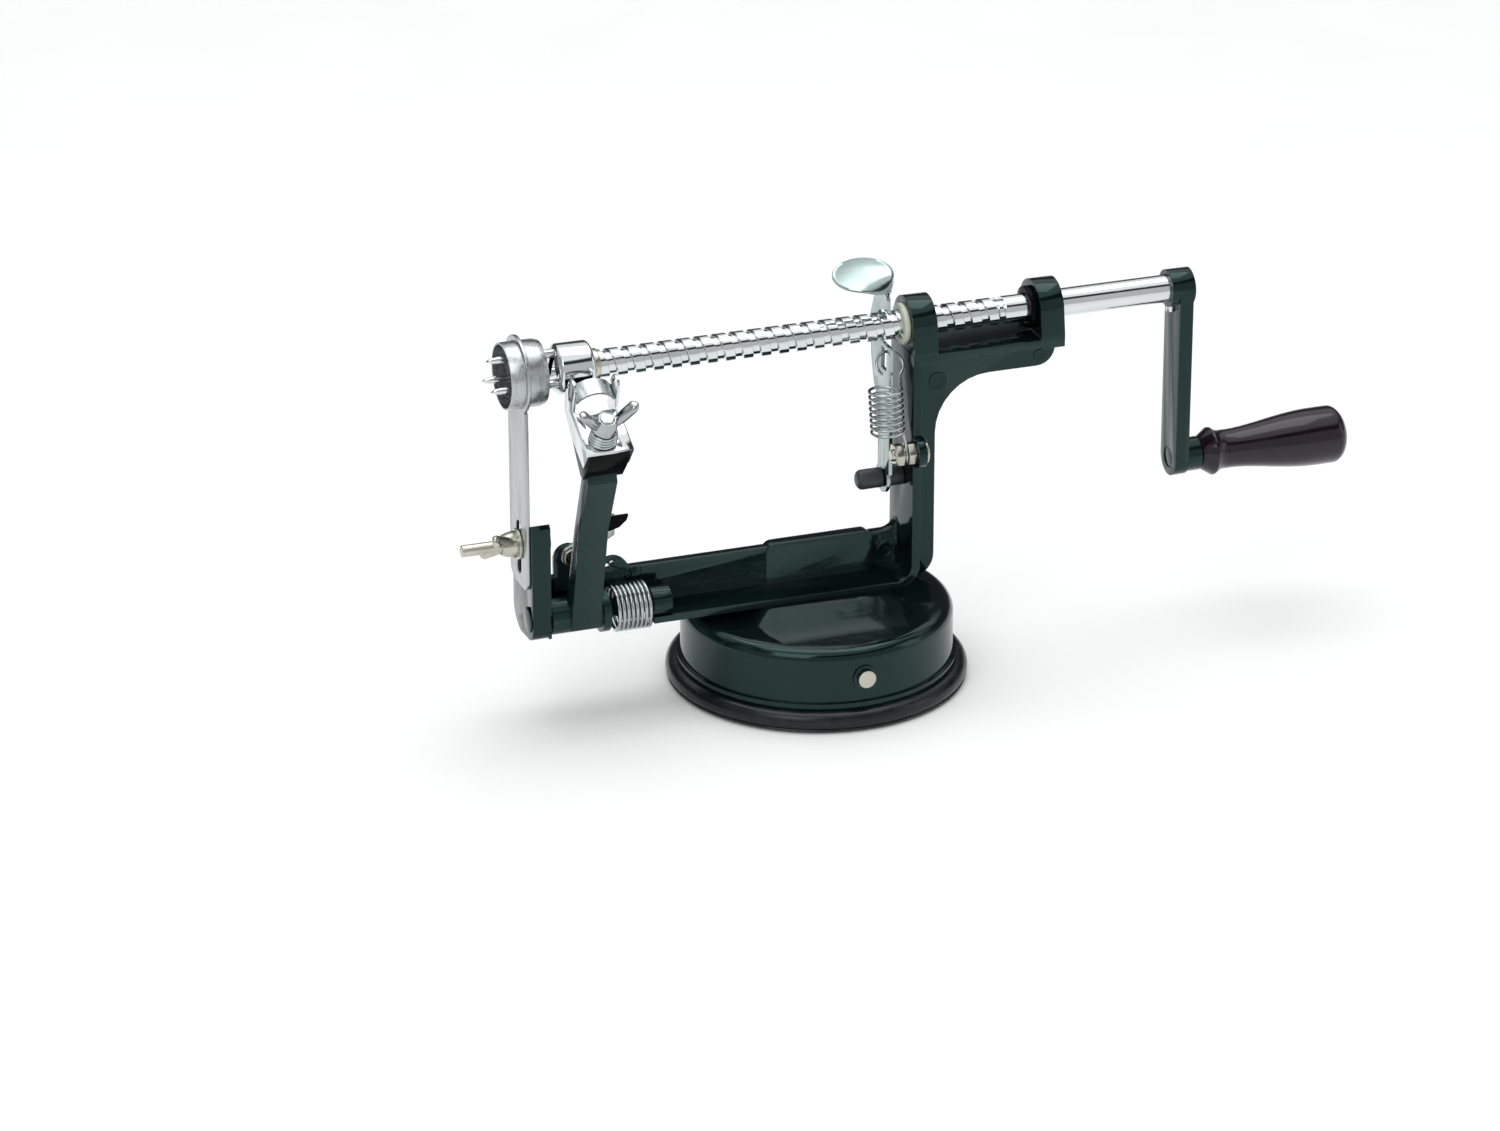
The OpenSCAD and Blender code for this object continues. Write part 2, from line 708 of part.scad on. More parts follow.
module blade_spring() {
    steps = 12;
    coils = 3.5;
    color([0.8, 0.8, 0.8]) at_head() translate([stud[0], stud[1], 0.6])
        wire([for (i = [0:coils * steps]) let (a = 360 * i / steps, r = 4.3 - 0.5 * i / (coils * steps))
            [r * cos(a), r * sin(a), 1.15 * i / steps]], 0.55, 6);
}

module blade_wing_nut() {
    color([0.85, 0.85, 0.85]) at_head() translate([stud[0], stud[1], 5.3]) rotate([0, 0, 5])
        wing_nut(stud_r + run, 4, 23);
}

// ---------- latch ----------

// Plate behind the arm with a round lobe at each end
module latch_plate() {
    color([0.03, 0.03, 0.03]) difference() {
        xz_plate(web_y - 1.6, web_y + 0.4) union() {
            translate([-91.6, 42]) square([10, 11]);
            translate([latch_rivet_x, 53.2]) circle(r = 5);
            translate([-82, 42]) square([15.5, 6.6]);
            translate([-71.2, 46]) circle(r = 5.6);
        }
        translate([-73.4, 0, 0]) yrod(-5, 9, 1.1, 0, 48.4);
        translate([-71.6, 0, 0]) yrod(-5, 9, 0.8, 0, 49.6);
    }
}

module latch_rivet() {
    color([0.75, 0.7, 0.58]) {
        yrod(web_y - 4.4, web_y - 1.6, 1.5, latch_rivet_x, latch_rivet_z);
        yrod(web_y - 5.2, web_y - 4.4, 2.7, latch_rivet_x, latch_rivet_z);
    }
}

// Flat catch that turns on the rivet and reaches up behind the arm
module latch_lever() {
    color([0.7, 0.71, 0.7]) xz_plate(web_y - 4, web_y - 2.1) difference() {
        union() {
            translate([latch_rivet_x, latch_rivet_z]) circle(r = 3.3);
            polygon([[-88.6, 57.6], [-84.4, 52.6], [-71.4, 60.6], [-71, 67.6], [-74, 67.6], [-75.4, 64.4]]);
        }
        translate([latch_rivet_x, latch_rivet_z]) circle(r = 1.5 + run);
    }
}

module latch_tip() {
    color([0.12, 0.11, 0.1]) xz_plate(web_y - 5.6, web_y - 4)
        polygon([[-74, 62.6], [-74, 67.8], [-66.8, 67.8], [-67.6, 65.8], [-70.2, 63.6]]);
}

// ---------- release lever ----------

// Side view of the plate: straight shank, hook round the back of the screw, neck above it
module lever_outline() {
    difference() {
        union() {
            translate([0, lever_z]) circle(r = 5.2);
            polygon([[-6.6, lever_z + 3], [3.6, lever_z], [3.8, 92], [8.4, 100], [10.6, 108], [11.6, shaft_z],
                     [8.6, 129], [3.4, 132.6], [-3.6, 132.6], [-4, 128.4], [-6.6, 114.6]]);
        }
        translate([0, shaft_z]) circle(r = shaft_r + 1.1);
        translate([-12, shaft_z - shaft_r - 1.1]) square([12, 2 * shaft_r + 2.2]);
        translate([0, lever_z]) circle(r = 2.5 + run);
        // slot for the spring's loop
        translate([-3.5, 106.6]) square([4.6, 7.8]);
    }
    // tooth that stands in the thread's groove
    translate([core_r + 0.12, shaft_z - 0.9]) square([shaft_r + 1.6 - core_r, 1.8]);
}

// Places its children on the thumb tab, which faces forward and up
module at_thumb() {
    translate([15.3, -1, 140.9]) rotate([37.5, 1, 0]) children();
}

module release_lever() {
    tab_t = 1.4;
    dish_r = 24;
    color([0.82, 0.84, 0.84]) {
        yz_plate(lever_x, lever_x + lever_t) lever_outline();
        difference() {
            at_thumb() translate([0, 0, -tab_t / 2]) linear_extrude(height = tab_t)
                hull() for (x = [-4.1, 4.1]) translate([x, 0]) circle(r = 6.5);
            at_thumb() translate([0, 0, dish_r]) sphere(r = dish_r);
        }
        // neck from the plate's top to the underside of the tab
        hull() {
            translate([lever_x + 0.1, -3.4, 131.4]) cube([1, 4, 0.6]);
            at_thumb() translate([7, -3.6, -tab_t / 2]) cylinder(h = 0.5, r = 1.8, $fn = 24);
        }
    }
}

module lever_pivot_stud() {
    color([0.04, 0.05, 0.05]) {
        xrod(lever_x - 0.4, column_x + plate_t, 2.5, 0, lever_z);
        xrod(lever_x + lever_t + 0.3, column_x, 3.4, 0, lever_z);
        translate([lever_x - 0.3, 0, lever_z]) rotate([0, -90, 0]) rotate_extrude()
            polygon(concat([[0, 0], [3.4, 0]], arc([1.4, 6.8], 2, 0, 90, 6), [[0, 8.8]]));
    }
}

// Tension spring: hook on the anchor bolt, stretched coils, loop through the lever
module lever_spring() {
    r = 5.4;
    coils = 8;
    steps = 12;
    wire_r = 0.5;
    low = [20, -12.9, 88];
    high = [19, -12.7, 104.6];
    loop_c = [lever_x + lever_t / 2, -5, 109.6];
    loop_r = 4.6;
    hook_r = 3;
    hook_x = (nut_x[0] + nut_x[1] + nut_t) / 2;
    hook = [for (a = [50:25:300]) [hook_x, anchor_y + hook_r * sin(a), anchor_z + hook_r * cos(a)]];
    bend = [[hook_x - 0.1, anchor_y - 2.2, anchor_z + 4], [hook_x - 0.5, anchor_y - 1.8, anchor_z + 6.8]];
    coil = [for (i = [0:coils * steps]) let (a = 360 * i / steps, t = i / (coils * steps))
        low + t * (high - low) + [r * cos(a), r * sin(a), 0]];
    loop = [for (a = [-55:20:225]) loop_c + loop_r * [cos(a), 0.62 * sin(a), 0.78 * sin(a)]];
    color([0.8, 0.82, 0.82]) wire(concat(hook, bend, coil, loop), wire_r, 6);
}

module anchor_bolt() {
    color([0.8, 0.79, 0.72]) {
        xrod(21.6, column_x + plate_t + eps, 2, anchor_y, anchor_z);
        xrod(column_x + plate_t, column_x + plate_t + 1.3, 4.2, anchor_y, anchor_z);
    }
}

module anchor_nuts() {
    color([0.82, 0.8, 0.72]) for (x = nut_x) difference() {
        translate([x, anchor_y, anchor_z]) rotate([0, 90, 0]) rotate([0, 0, 20])
            linear_extrude(height = nut_t) hexagon(7);
        xrod(x - 1, x + 5, 2, anchor_y, anchor_z);
    }
}

base_cover();
foot_ring();
suction_diaphragm();
suction_stud();
cam_pin();
suction_lever();
suction_lever_grip();
frame_casting();
base_screws();
front_bush();
rear_bush();
drive_shaft();
fork_washer();
fork_hub();
fork_prongs();
crank_arm();
crank_set_screw();
handle_axle();
handle();
corer_bolt();
corer_washer();
corer_wing_nut();
slicing_strap();
coring_ring();
peeler_pivot_pin();
peeler_arm();
peeler_spring();
blade_block();
blade_bracket();
peeling_blade();
blade_stud();
blade_spring();
blade_wing_nut();
latch_plate();
latch_rivet();
latch_lever();
latch_tip();
release_lever();
lever_pivot_stud();
lever_spring();
anchor_bolt();
anchor_nuts();
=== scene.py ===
import json
import math

import bmesh
import bpy
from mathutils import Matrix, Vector


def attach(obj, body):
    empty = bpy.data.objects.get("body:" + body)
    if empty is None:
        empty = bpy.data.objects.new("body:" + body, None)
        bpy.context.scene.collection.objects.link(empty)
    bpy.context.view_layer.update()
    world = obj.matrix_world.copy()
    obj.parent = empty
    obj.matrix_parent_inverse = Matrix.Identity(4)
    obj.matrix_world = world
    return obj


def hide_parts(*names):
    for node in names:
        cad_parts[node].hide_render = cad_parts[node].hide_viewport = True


MM = 0.001      # the pieces are measured in millimetres, the scene in metres
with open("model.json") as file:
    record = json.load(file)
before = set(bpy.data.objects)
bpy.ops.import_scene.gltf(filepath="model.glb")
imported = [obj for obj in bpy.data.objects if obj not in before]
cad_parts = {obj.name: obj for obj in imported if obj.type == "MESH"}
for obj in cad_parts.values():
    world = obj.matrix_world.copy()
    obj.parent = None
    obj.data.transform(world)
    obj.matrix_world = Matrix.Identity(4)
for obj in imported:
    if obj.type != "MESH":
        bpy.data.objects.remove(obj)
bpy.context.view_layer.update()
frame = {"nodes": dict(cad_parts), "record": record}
NODES = frame["nodes"]

# Shared sizes, in millimetres, as in the CAD
SHAFT_Z = 121.5
SHAFT_R = 4.75
CORE_R = 3.8
LEAD = 6.2
LEVER_X = 23.5
CRANK_THROW = 61.5
PIVOT_Y, PIVOT_Z = -5.5, 36.7
CAM_PIN_Z = 17.5
ANCHOR_Y, ANCHOR_Z = -11.5, 79.8
CORER_BOLT_Z = 62.0
CORER_NUT_SEAT = -105.3                 # the nut's face along X; it points to -X
HANDLE_START, HANDLE_LENGTH = 137.8, 54.5
THUMB = (15.3, -1.0, 140.9)             # the middle of the thumb tab
HEAD = (-84.7, -38.3, 106.5)            # the blade holder's origin
HEAD_TILT = math.radians(28.5)
STUD = (-1.3, 5.5)                      # the blade stud on the holder: across, up the slope
BLADE_NUT_SEAT = 5.3                    # the nut's face above the holder

# Rounding of edges and shading, in degrees
BEVEL_ANGLE = 35.0
SHARP_ANGLE = 40.0

# Brightness of the studio by the height of the direction: dark walls, a bright tent, a dark seam
BACK_SKY = ((0.0, 0.5), (0.03, 0.12), (0.45, 0.04), (0.58, 0.95), (1.0, 1.1))
FRONT_SKY = ((0.0, 0.6), (0.55, 0.62), (0.6, 0.04), (0.74, 0.04), (0.8, 1.1), (1.0, 1.1))


# Sockets of a colour mix node, which share their names with those of its other data types
MIX_A, MIX_B, MIX_RESULT = 6, 7, 2


# ---------- materials ----------

class Shader:
    """A node material under construction."""

    def __init__(self, name):
        self.mat = bpy.data.materials.new(name)
        self.mat.use_nodes = True
        self.tree = self.mat.node_tree
        self.bsdf = self.tree.nodes["Principled BSDF"]
        self.coords = self.add("ShaderNodeTexCoord").outputs["Object"]

    def add(self, kind, **values):
        node = self.tree.nodes.new(kind)
        for key, value in values.items():
            setattr(node, key, value)
        return node

    def join(self, a, b):
        self.tree.links.new(a, b)

    def stretched(self, scale):
        node = self.add("ShaderNodeMapping")
        node.inputs["Scale"].default_value = scale
        self.join(self.coords, node.inputs["Vector"])
        return node.outputs["Vector"]

    def noise(self, scale, detail=3.0, rough=0.5, stretch=None, distort=0.0):
        node = self.add("ShaderNodeTexNoise")
        node.inputs["Scale"].default_value = scale
        node.inputs["Detail"].default_value = detail
        node.inputs["Roughness"].default_value = rough
        node.inputs["Distortion"].default_value = distort
        self.join(self.stretched(stretch) if stretch else self.coords, node.inputs["Vector"])
        return node.outputs["Fac"]

    def band(self, fac, low, high, to_low=0.0, to_high=1.0):
        node = self.add("ShaderNodeMapRange")
        node.inputs["From Min"].default_value = low
        node.inputs["From Max"].default_value = high
        node.inputs["To Min"].default_value = to_low
        node.inputs["To Max"].default_value = to_high
        self.join(fac, node.inputs["Value"])
        return node.outputs["Result"]

    def mix(self, fac, a, b):
        node = self.add("ShaderNodeMix", data_type="RGBA")
        self.join(fac, node.inputs["Factor"])
        for key, value in ((MIX_A, a), (MIX_B, b)):
            if isinstance(value, tuple):
                node.inputs[key].default_value = (*value, 1.0)
            else:
                self.join(value, node.inputs[key])
        return node.outputs[MIX_RESULT]

    def product(self, a, b, operation="MULTIPLY"):
        node = self.add("ShaderNodeMath", operation=operation)
        for key, value in ((0, a), (1, b)):
            if isinstance(value, float):
                node.inputs[key].default_value = value
            else:
                self.join(value, node.inputs[key])
        return node.outputs[0]

    def bump(self, height, distance, strength=1.0, before=None):
        node = self.add("ShaderNodeBump")
        node.inputs["Distance"].default_value = distance
        node.inputs["Strength"].default_value = strength
        self.join(height, node.inputs["Height"])
        if before is not None:
            self.join(before, node.inputs["Normal"])
        return node.outputs["Normal"]

    def edges(self, low, high):
        """1 on convex edges, 0 elsewhere."""
        node = self.add("ShaderNodeNewGeometry")
        return self.band(node.outputs["Pointiness"], low, high)

    def set(self, **values):
        for key, value in values.items():
            socket = self.bsdf.inputs[key.replace("_", " ")]
            if isinstance(value, tuple):
                socket.default_value = (*value, 1.0)
            elif isinstance(value, (int, float)):
                socket.default_value = value
            else:
                self.join(value, socket)
        return self.mat


def paint(name, base, tint, rough=0.12, grain=0.00003):
    """Thick gloss paint over a casting: soft orange peel, faint dust, thin spots on edges."""
    s = Shader(name)
    cloud = s.band(s.noise(38, 4), 0.35, 0.7)
    color = s.mix(cloud, base, tint)
    specks = s.band(s.noise(1500, 2), 0.7, 0.74)
    color = s.mix(s.product(specks, 0.2), color, (0.06, 0.075, 0.075))
    color = s.mix(s.product(s.edges(0.54, 0.64), 0.25), color, (0.05, 0.07, 0.07))
    ripple = s.bump(s.noise(150, 2), grain * 3.0)
    peel = s.bump(s.noise(700, 2), grain, 0.6, ripple)
    roughness = s.band(s.noise(90, 3), 0.3, 0.7, rough * 0.75, rough * 1.35)
    return s.set(Base_Color=color, Roughness=roughness, Coat_Weight=0.12, Coat_Roughness=0.03,
                 Specular_IOR_Level=0.36, Specular_Tint=(0.5, 1.0, 0.93), Normal=peel)


def plated(name, base, tint, rough, scratch=0.4, patch=30.0):
    """Plated metal: slight colour drift, hairline scratches, a little waviness."""
    s = Shader(name)
    color = s.mix(s.band(s.noise(patch, 4), 0.3, 0.72), base, tint)
    lines = s.noise(900, 3, 0.6, stretch=(0.08, 1.0, 1.0))
    marks = s.band(lines, 0.62, 0.75)
    wave = s.bump(s.noise(110, 2), 0.000016)
    normal = s.bump(marks, 0.00002, scratch, wave)
    smear = s.band(s.noise(60, 5), 0.35, 0.75, rough * 0.6, rough * 1.7)
    roughness = s.product(smear, s.product(marks, 0.08), "ADD")
    return s.set(Base_Color=color, Metallic=1.0, Roughness=roughness, Normal=normal)


def brushed(name, base, tint, stretch, rough=0.28):
    """Rolled or ground steel with fine lines along one direction."""
    s = Shader(name)
    lines = s.noise(1600, 4, 0.6, stretch=stretch)
    broad = s.noise(240, 3, 0.5, stretch=stretch)
    color = s.mix(s.band(lines, 0.3, 0.7), base, tint)
    stain = s.band(s.noise(45, 5), 0.55, 0.8, 0.0, 0.35)
    color = s.mix(stain, color, (0.5, 0.48, 0.44))
    normal = s.bump(lines, 0.00003, 0.5, s.bump(broad, 0.00004))
    return s.set(Base_Color=color, Metallic=1.0, Normal=normal,
                 Roughness=s.band(lines, 0.25, 0.75, rough * 0.7, rough * 1.4))


def rubber(name):
    """Moulded rubber: dull, dusty, with a fine leathery grain."""
    s = Shader(name)
    dust = s.band(s.noise(120, 6, 0.65), 0.45, 0.75)
    color = s.mix(dust, (0.0025, 0.005, 0.005), (0.009, 0.015, 0.0145))
    color = s.mix(s.product(s.edges(0.52, 0.6), 0.3), color, (0.03, 0.04, 0.04))
    normal = s.bump(s.noise(2600, 3), 0.00004, 0.7, s.bump(s.noise(260, 2), 0.00008))
    return s.set(Base_Color=color, Normal=normal, Roughness=s.band(dust, 0.0, 1.0, 0.22, 0.36),
                 Specular_IOR_Level=0.35)


def plastic(name, base, tint, rough, gloss=0.5):
    """Moulded plastic with faint flow marks and fine scuffs."""
    s = Shader(name)
    flow = s.band(s.noise(70, 4, 0.55, distort=1.5), 0.3, 0.7)
    color = s.mix(flow, base, tint)
    scuff = s.band(s.noise(1200, 2, stretch=(1.0, 0.15, 1.0)), 0.64, 0.7)
    color = s.mix(s.product(scuff, 0.25), color, tuple(min(1.0, c * 1.8 + 0.03) for c in base))
    normal = s.bump(s.noise(1800, 2), 0.00002, 0.5, s.bump(flow, 0.00004))
    return s.set(Base_Color=color, Normal=normal, Specular_IOR_Level=gloss,
                 Roughness=s.band(s.noise(200, 3), 0.3, 0.7, rough * 0.7, rough * 1.4))


def lacquered_wood(name):
    """Turned wood under dark aubergine lacquer: grain along the handle, glassy coat."""
    s = Shader(name)
    grain = s.noise(420, 5, 0.6, stretch=(0.06, 1.0, 1.0), distort=0.4)
    pores = s.band(s.noise(1500, 3, 0.6, stretch=(0.05, 1.0, 1.0)), 0.6, 0.72)
    color = s.mix(s.band(grain, 0.3, 0.7), (0.003, 0.0015, 0.004), (0.015, 0.0035, 0.012))
    color = s.mix(s.product(pores, 0.6), color, (0.006, 0.003, 0.004))
    normal = s.bump(grain, 0.00005, 0.5, s.bump(s.noise(120, 2), 0.00006))
    return s.set(Base_Color=color, Normal=normal, Roughness=s.band(grain, 0.3, 0.7, 0.2, 0.32),
                 Coat_Weight=0.5, Coat_Roughness=0.03, Specular_IOR_Level=0.2)


def floor_material(name):
    """Pale and almost even, so that it doesn't draw the eye."""
    s = Shader(name)
    color = s.mix(s.band(s.noise(6, 4), 0.3, 0.7), (0.95, 0.95, 0.95), (0.97, 0.97, 0.97))
    return s.set(Base_Color=color, Roughness=s.band(s.noise(20, 3), 0.3, 0.7, 0.5, 0.6))


BLACK = paint("black_paint", (0.0015, 0.004, 0.004), (0.003, 0.008, 0.008))
# The peeler arm has the same black paint as the frame. Its base colour is made lighter and greener
# as a painted sheen for the soft reflections on its faces, and it is rougher with a coarser peel
ARM_PAINT_SHEEN = paint("arm_paint_painted_sheen", (0.003, 0.009, 0.0085), (0.006, 0.015, 0.014), 0.22, 0.00006)
CHROME = plated("chrome_plate", (0.74, 0.76, 0.77), (0.62, 0.65, 0.66), 0.06)
# Chrome for the blade's wing nut and stud, darker than the other chrome as painted shade so that it
# doesn't wash out under the lamps
SHADED_CHROME = plated("nut_chrome_painted_shade", (0.46, 0.48, 0.49), (0.34, 0.36, 0.37), 0.09, 0.3, 90.0)
SPRING = plated("spring_wire", (0.5, 0.53, 0.53), (0.36, 0.39, 0.39), 0.12, 0.2, 160.0)
ZINC = plated("zinc_plate", (0.56, 0.55, 0.48), (0.42, 0.41, 0.35), 0.2, 0.5, 120.0)
BLADE = brushed("blade_steel", (0.38, 0.4, 0.4), (0.52, 0.55, 0.55), (1.0, 1.0, 0.03))
LEVER = plated("lever_steel", (0.4, 0.47, 0.46), (0.3, 0.37, 0.36), 0.16, 0.3, 60.0)
RUBBER = rubber("foot_rubber")
SHINY = plastic("black_plastic", (0.0015, 0.002, 0.002), (0.004, 0.005, 0.005), 0.14, 0.04)
DULL = plastic("stud_plastic", (0.02, 0.026, 0.026), (0.04, 0.05, 0.05), 0.42)
NYLON = plastic("nylon", (0.56, 0.6, 0.48), (0.68, 0.71, 0.6), 0.4)
WOOD = lacquered_wood("lacquered_wood")


# ---------- making pieces ----------

def link(name, mesh, mat):
    ob = bpy.data.objects.new(name, mesh)
    bpy.context.scene.collection.objects.link(ob)
    mesh.materials.clear()
    mesh.materials.append(mat)
    return ob


def from_bmesh(name, bm, mat, sharp=SHARP_ANGLE):
    """A linked object made from bm, which is used up; edges above sharp degrees stay sharp."""
    bmesh.ops.recalc_face_normals(bm, faces=bm.faces)
    mesh = bpy.data.meshes.new(name)
    bm.to_mesh(mesh)
    bm.free()
    ob = link(name, mesh, mat)
    smooth(ob, sharp)
    return ob


def smooth(ob, sharp):
    for poly in ob.data.polygons:
        poly.use_smooth = True
    ob.data.set_sharp_from_angle(angle=math.radians(sharp))


def applied(ob):
    """Replaces the object's mesh by what its modifiers make of it."""
    deps = bpy.context.evaluated_depsgraph_get()
    mesh = bpy.data.meshes.new_from_object(ob.evaluated_get(deps))
    ob.modifiers.clear()
    old = ob.data
    ob.data = mesh
    bpy.data.meshes.remove(old)


def soften(ob, width, segments):
    """Rounds the object's edges, width in millimetres."""
    mod = ob.modifiers.new("soften", "BEVEL")
    mod.width = width * MM
    mod.segments = segments
    mod.limit_method = "ANGLE"
    mod.angle_limit = math.radians(BEVEL_ANGLE)
    mod.use_clamp_overlap = True
    mod.miter_outer = "MITER_ARC"
    bpy.context.view_layer.update()
    applied(ob)
    smooth(ob, SHARP_ANGLE)


def refined(node, mat, width, segments, keep=None):
    """A copy of a CAD node with joined faces and rounded edges, which stands for it.
    keep(bm) may cut the copy before its edges are rounded."""
    bm = bmesh.new()
    bm.from_mesh(NODES[node].data)
    bmesh.ops.remove_doubles(bm, verts=bm.verts, dist=2e-6)
    if keep:
        keep(bm)
    bmesh.ops.dissolve_limit(bm, angle_limit=math.radians(0.8), verts=bm.verts, edges=bm.edges)
    ob = from_bmesh(node + "_piece", bm, mat)
    soften(ob, width, segments)
    stand_for(ob, node)


def stand_for(ob, node):
    """The piece is shown instead of a CAD node, on that node's body."""
    body = next(b for b, names in frame["record"]["behaviour"]["bodies"].items() if node in names)
    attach(ob, body)
    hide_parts(node)


def on_body(ob, body):
    """The piece is shown on a body, in addition to the CAD's nodes."""
    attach(ob, body)


def paint_node(node, mat):
    """Gives its material to a CAD node that is shown as it is."""
    for slot in NODES[node].material_slots:
        slot.material = mat


def skin(bm, rings):
    """Joins each ring of vertices to the next; a ring of one vertex is a pole."""
    for a, b in zip(rings, rings[1:]):
        around = max(len(a), len(b))
        for k in range(around):
            n = (k + 1) % around
            corners = (a[k % len(a)], b[k % len(b)], b[n % len(b)], a[n % len(a)])
            face = list(dict.fromkeys(corners))
            if len(face) > 2:
                bm.faces.new(face)


def close_ends(bm, rings):
    bm.faces.new(rings[0])
    bm.faces.new(list(reversed(rings[-1])))


def squared(value, power):
    """A sine or cosine made fuller, which turns a circle into a rounded box."""
    return math.copysign(abs(value) ** power, value)


def tube(name, points, radius, mat, sides=12):
    """Sweeps a circle along points, in millimetres, with closed ends."""
    bm = bmesh.new()
    pts = [Vector(p) * MM for p in points]
    rings = []
    side = None
    for i, p in enumerate(pts):
        t = (pts[min(i + 1, len(pts) - 1)] - pts[max(i - 1, 0)]).normalized()
        if side is None:
            side = t.orthogonal().normalized()
        side = (side - t * side.dot(t)).normalized()
        up = t.cross(side)
        rings.append([bm.verts.new(p + radius * MM * (side * math.cos(a) + up * math.sin(a)))
                      for a in (2 * math.pi * k / sides for k in range(sides))])
    skin(bm, rings)
    close_ends(bm, rings)
    return from_bmesh(name, bm, mat, 50.0)


def lathe_mesh(bm, profile, steps, place):
    """Turns a profile of (distance along, radius) pairs; place maps (along, a, b) to a point."""
    rings = []
    for along, r in profile:
        if r < 1e-4:
            rings.append([bm.verts.new(place(along, 0.0, 0.0))])
            continue
        rings.append([bm.verts.new(place(along, r * math.cos(t), r * math.sin(t)))
                      for t in (2 * math.pi * k / steps for k in range(steps))])
    skin(bm, rings)


def turned(name, profile, steps, place, mat, sharp):
    """One piece made by lathe_mesh."""
    bm = bmesh.new()
    lathe_mesh(bm, profile, steps, place)
    return from_bmesh(name, bm, mat, sharp)


def oval(steps, along, out, half_along, half_out):
    """A closed oval profile for the lathe."""
    return [(along + half_along * math.sin(a), out + half_out * math.cos(a))
            for a in (2 * math.pi * i / steps for i in range(steps + 1))]


def along_x(y, z):
    """Places a turned shape round a line along X."""
    return lambda d, a, b: Vector((d, y + a, z + b)) * MM


def upright(d, a, b):
    """Places a turned shape round the foot's upright axis."""
    return Vector((a, b, d)) * MM


def at_head(x, c, n):
    """A point on the blade holder: x across, c up its slope, n out of it."""
    cos, sin = math.cos(HEAD_TILT), math.sin(HEAD_TILT)
    return Vector((HEAD[0] + x, HEAD[1] + c * cos - n * sin, HEAD[2] + c * sin + n * cos)) * MM


# ---------- pieces built for their looks ----------

def screw_thread():
    """The feed screw with one wide square groove winding round it."""
    steps = 48                       # around one turn
    land, wall = 3.55, 0.22          # lengths of the crest and of each sloping wall
    groove_at = LEVER_X              # the groove is behind the screw here
    round_over = 0.14
    # profile over one lead: crest, wall down, root, wall up
    profile = [(0.0, SHAFT_R - round_over), (round_over, SHAFT_R), (land - round_over, SHAFT_R),
               (land, SHAFT_R - round_over), (land + wall, CORE_R), (LEAD - wall, CORE_R)]
    count = len(profile)
    x_low, x_high = -76.6, 62.8      # the threaded length
    fork_end, plain_from, plain_to = -88.0, 65.0, 131.4
    centre = (land + wall + LEAD - wall) / 2
    # angle 0 is +Y; start a whole number of turns before the lever's groove
    turns = int((x_high - x_low) / LEAD) + 4
    start = groove_at - centre - LEAD * (int((groove_at - x_low) / LEAD) + 2)
    bm = bmesh.new()
    grid = []
    for k in range(turns * steps + 1):
        angle = 2 * math.pi * k / steps
        row = []
        for s, r in profile:
            x = min(max(start + LEAD * k / steps + s, x_low), x_high)
            y, z = r * math.cos(angle), SHAFT_Z + r * math.sin(angle)
            row.append(bm.verts.new(Vector((x, y, z)) * MM))
        grid.append(row)
    for k in range(turns * steps):
        for j in range(count):
            a, b = (k, j), (k + 1, j)
            if j + 1 < count:
                c, d = (k + 1, j + 1), (k, j + 1)
            else:
                if k + 1 + steps > turns * steps:
                    continue
                c, d = (k + 1 + steps, 0), (k + steps, 0)
            corners = [grid[i][m] for i, m in (a, b, c, d)]
            xs = [v.co.x for v in corners]
            if max(xs) - min(xs) > 1e-7:
                bm.faces.new(corners)
    bmesh.ops.remove_doubles(bm, verts=bm.verts, dist=1e-7)
    # end faces, the relief neck, the plain end with its chamfer, and the neck at the fork
    neck = CORE_R - 0.1
    for profile_x in ([(x_low, 0.0), (x_low, CORE_R), (x_low, SHAFT_R - 0.05)],
                      [(x_high, SHAFT_R - 0.05), (x_high, CORE_R), (x_high, 0.0)],
                      [(x_high - 0.1, neck), (plain_from, neck), (plain_from, 4.6),
                       (plain_from + 0.25, SHAFT_R), (plain_to - 0.5, SHAFT_R), (plain_to, 4.3),
                       (plain_to, 0.0)],
                      [(fork_end, 0.0), (fork_end, neck), (x_low + 0.1, neck)]):
        lathe_mesh(bm, profile_x, 64, along_x(0.0, SHAFT_Z))
    stand_for(from_bmesh("feed_screw", bm, CHROME, 30.0), "drive_shaft")


def coil_points(centre, axis_x, radius, start, end, turns, steps=28, lean=(0.0, 0.0)):
    """Points of a coil along X (axis_x true) or along Z, where lean moves its far end aside."""
    out = []
    total = int(turns * steps)
    for i in range(total + 1):
        t = i / total
        a = 2 * math.pi * i / steps
        d = start + (end - start) * t
        u, v = radius * math.cos(a), radius * math.sin(a)
        if axis_x:
            out.append((d, centre[0] + u, centre[1] + v))
        else:
            out.append((centre[0] + lean[0] * t + u, centre[1] + lean[1] * t + v, d))
    return out


def peeler_spring():
    """Close coil round the peeler's pivot."""
    radius, wire, x_low, x_high, turns = 7.6, 0.65, -74.5, -62.2, 8.0
    coil = coil_points((PIVOT_Y, PIVOT_Z), True, radius, x_low, x_high, turns)
    stand_for(tube("pressing_spring", coil, wire, SPRING), "peeler_spring")


